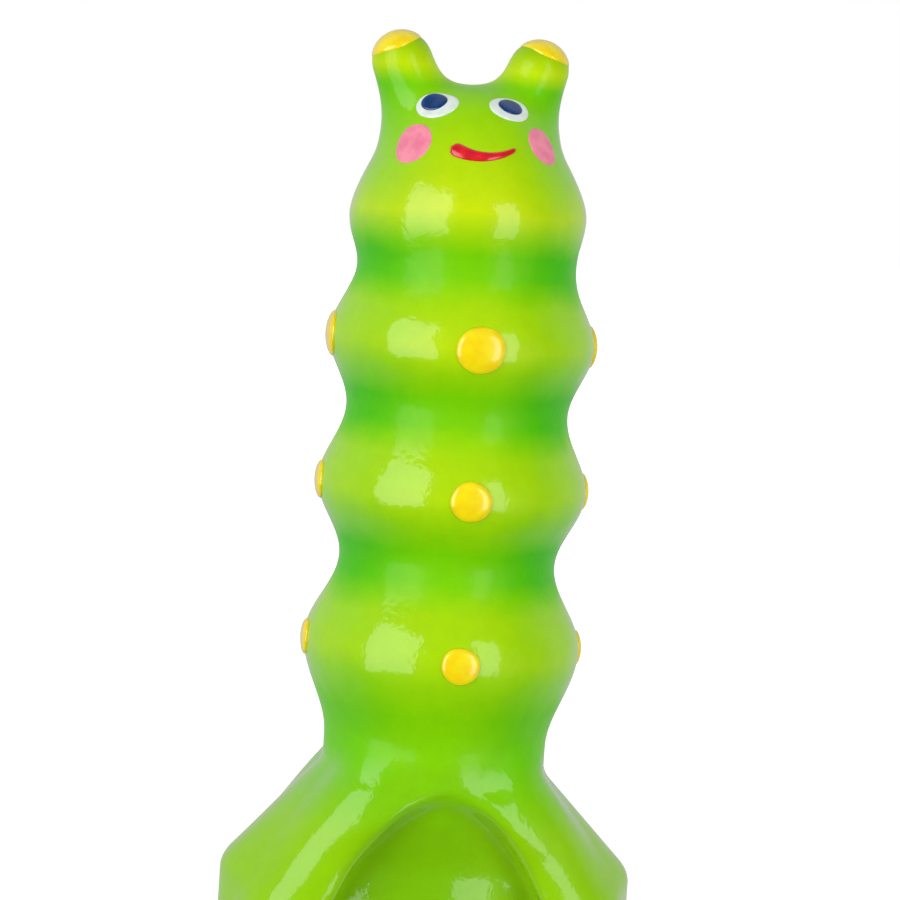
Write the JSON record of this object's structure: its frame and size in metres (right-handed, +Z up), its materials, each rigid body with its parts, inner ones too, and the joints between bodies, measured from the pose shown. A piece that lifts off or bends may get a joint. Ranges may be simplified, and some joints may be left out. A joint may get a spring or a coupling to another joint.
{
  "type": "soft plastic worm",
  "caption": "Soft plastic worm figure with a ringed, flexing body, a smiling head with two antennae, raised dots and a flared, arched base that it stands on.",
  "frame": {"origin": "on the surface it stands on, under the axis of the body", "axes": "+Z up along the body, -Y the way the face looks, +X the worm's own left"},
  "size_m": [0.0584, 0.0406, 0.1282],
  "materials": {
    "skin": "glossy soft vinyl, sprayed from yellow-green on the rings to deep green in the waists",
    "yellow_paint": "glossy raised paint",
    "white_paint": "glossy paint",
    "blue_paint": "glossy paint",
    "pink_paint": "satin paint",
    "red_paint": "glossy raised paint"
  },
  "bodies": {
    "base": {"base_shell": "skin"},
    "lower_ring": {"lower_ring_dot_back": "yellow_paint", "lower_ring_dot_front": "yellow_paint", "lower_ring_dot_left": "yellow_paint", "lower_ring_dot_right": "yellow_paint", "lower_ring_shell": "skin"},
    "middle_ring": {"middle_ring_dot_back": "yellow_paint", "middle_ring_dot_front": "yellow_paint", "middle_ring_dot_left": "yellow_paint", "middle_ring_dot_right": "yellow_paint", "middle_ring_shell": "skin"},
    "upper_ring": {"upper_ring_dot_back": "yellow_paint", "upper_ring_dot_front": "yellow_paint", "upper_ring_dot_left": "yellow_paint", "upper_ring_dot_right": "yellow_paint", "upper_ring_shell": "skin"},
    "head": {"cheek_left": "pink_paint", "cheek_right": "pink_paint", "eye_white_left": "white_paint", "eye_white_right": "white_paint", "head_shell": "skin", "mouth": "red_paint", "pupil_left": "blue_paint", "pupil_right": "blue_paint"},
    "antenna_left": {"antenna_cap_left": "yellow_paint", "antenna_left": "skin"},
    "antenna_right": {"antenna_cap_right": "yellow_paint", "antenna_right": "skin"}
  },
  "joints": [
    {"name": "bottom_waist", "type": "hinge", "parent": "base", "child": "lower_ring", "pos_m": [0, 0, 0.0295], "axis": [1, 0, 0], "range_deg": [-12, 12], "stiffness_Nm_per_rad": 1.2},
    {"name": "lower_waist", "type": "hinge", "parent": "lower_ring", "child": "middle_ring", "pos_m": [0, 0, 0.0552], "axis": [0, 1, 0], "range_deg": [-12, 12], "stiffness_Nm_per_rad": 1.2},
    {"name": "upper_waist", "type": "hinge", "parent": "middle_ring", "child": "upper_ring", "pos_m": [0, 0, 0.0763], "axis": [1, 0, 0], "range_deg": [-12, 12], "stiffness_Nm_per_rad": 1},
    {"name": "neck_waist", "type": "hinge", "parent": "upper_ring", "child": "head", "pos_m": [0, 0, 0.0963], "axis": [0, 1, 0], "range_deg": [-12, 12], "stiffness_Nm_per_rad": 0.8},
    {"name": "antenna_left_bend", "type": "hinge", "parent": "head", "child": "antenna_left", "pos_m": [0.00713, 0, 0.11983], "axis": [1, 0, 0], "range_deg": [-12, 12], "stiffness_Nm_per_rad": 0.02},
    {"name": "antenna_right_bend", "type": "hinge", "parent": "head", "child": "antenna_right", "pos_m": [-0.00915, 0, 0.11912], "axis": [1, 0, 0], "range_deg": [-12, 12], "stiffness_Nm_per_rad": 0.02}
  ]
}
